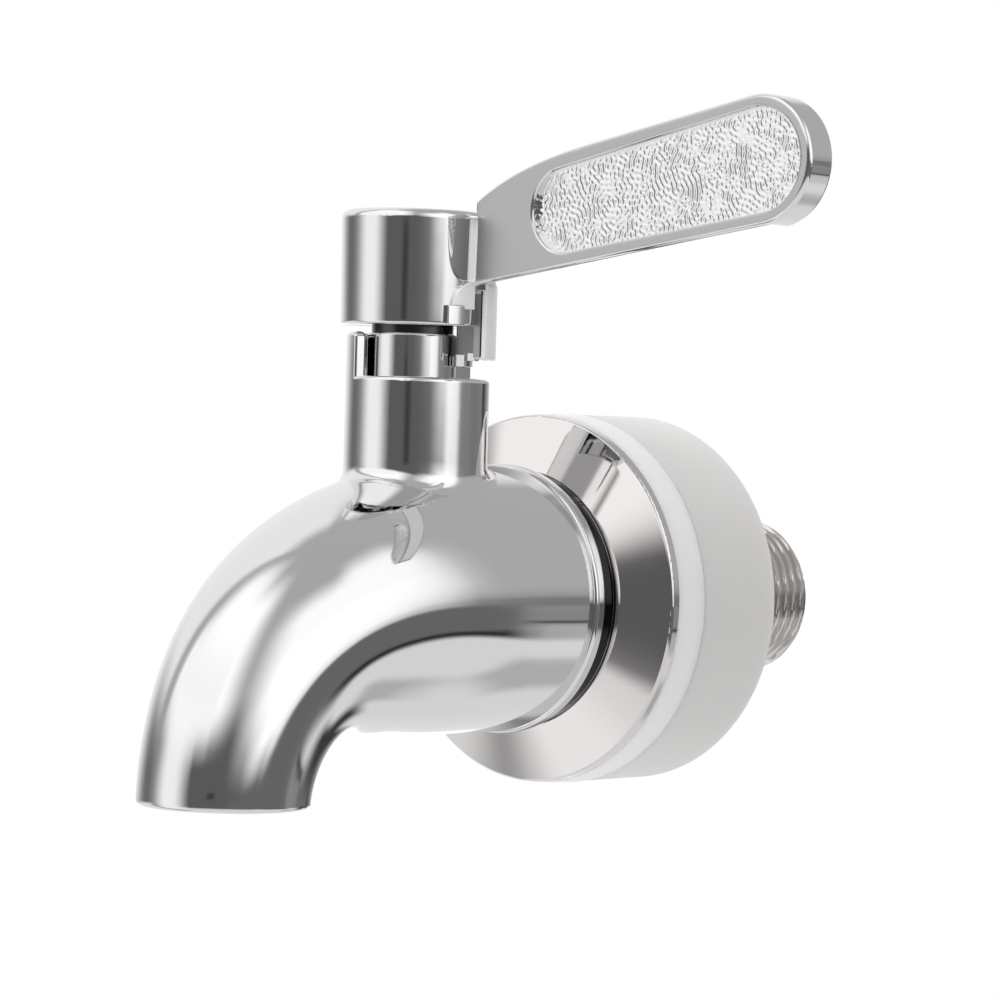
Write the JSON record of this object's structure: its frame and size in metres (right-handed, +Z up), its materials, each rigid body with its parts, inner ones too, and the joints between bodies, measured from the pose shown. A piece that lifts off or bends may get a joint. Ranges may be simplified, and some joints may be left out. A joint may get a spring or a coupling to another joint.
{
  "type": "beverage dispenser spigot",
  "caption": "Chromed drinks dispenser tap: a drooping spout, a quarter-turn lever on an upright neck, and a threaded shank with a rosette and sealing washers",
  "frame": {"origin": "on the shank's axis, at the rear face of the inner washer, where the free thread starts", "axes": "+Y along the shank towards the container, -Y towards the spout, +Z up along the neck, +X to the side where the closed lever points"},
  "size_m": [0.0681, 0.0887, 0.0685],
  "materials": {
    "chrome_casting": "bright chrome plate on a polished casting",
    "chrome_lever": "bright chrome plate, with a wrinkled grip panel left dull",
    "chrome_bonnet": "bright chrome plate on a turned sleeve",
    "chrome_rosette": "bright chrome plate on a turned cone",
    "turned_steel": "plated turned shank with a cut thread",
    "silicone": "translucent milky silicone, satin",
    "seal_rubber": "black nitrile rubber",
    "cartridge_brass": "machined brass",
    "disc_ceramic": "lapped white alumina",
    "spring_steel": "stainless spring steel",
    "glide_plastic": "moulded dark acetal"
  },
  "bodies": {
    "root": {"tap_body": "chrome_casting", "threaded_shank": "turned_steel", "shank_seal": "seal_rubber", "rosette": "chrome_rosette", "outer_washer": "silicone", "inner_washer": "silicone", "cartridge_housing": "cartridge_brass", "housing_seal": "seal_rubber", "disc_seal": "seal_rubber", "fixed_disc": "disc_ceramic", "valve_bonnet": "chrome_bonnet", "bonnet_seal": "seal_rubber", "glide_ring": "glide_plastic"},
    "handle": {"lever_handle": "chrome_lever", "screw_cap": "chrome_lever", "handle_screw": "spring_steel", "lock_washer": "spring_steel", "valve_spindle": "cartridge_brass", "upper_spindle_seal": "seal_rubber", "lower_spindle_seal": "seal_rubber", "spindle_clip": "spring_steel", "moving_disc": "disc_ceramic"}
  },
  "joints": [
    {"name": "handle_turn", "type": "hinge", "parent": "root", "child": "handle", "pos_m": [0, -0.0364, 0], "axis": [0, 0, -1], "range_deg": [0, 90]}
  ]
}
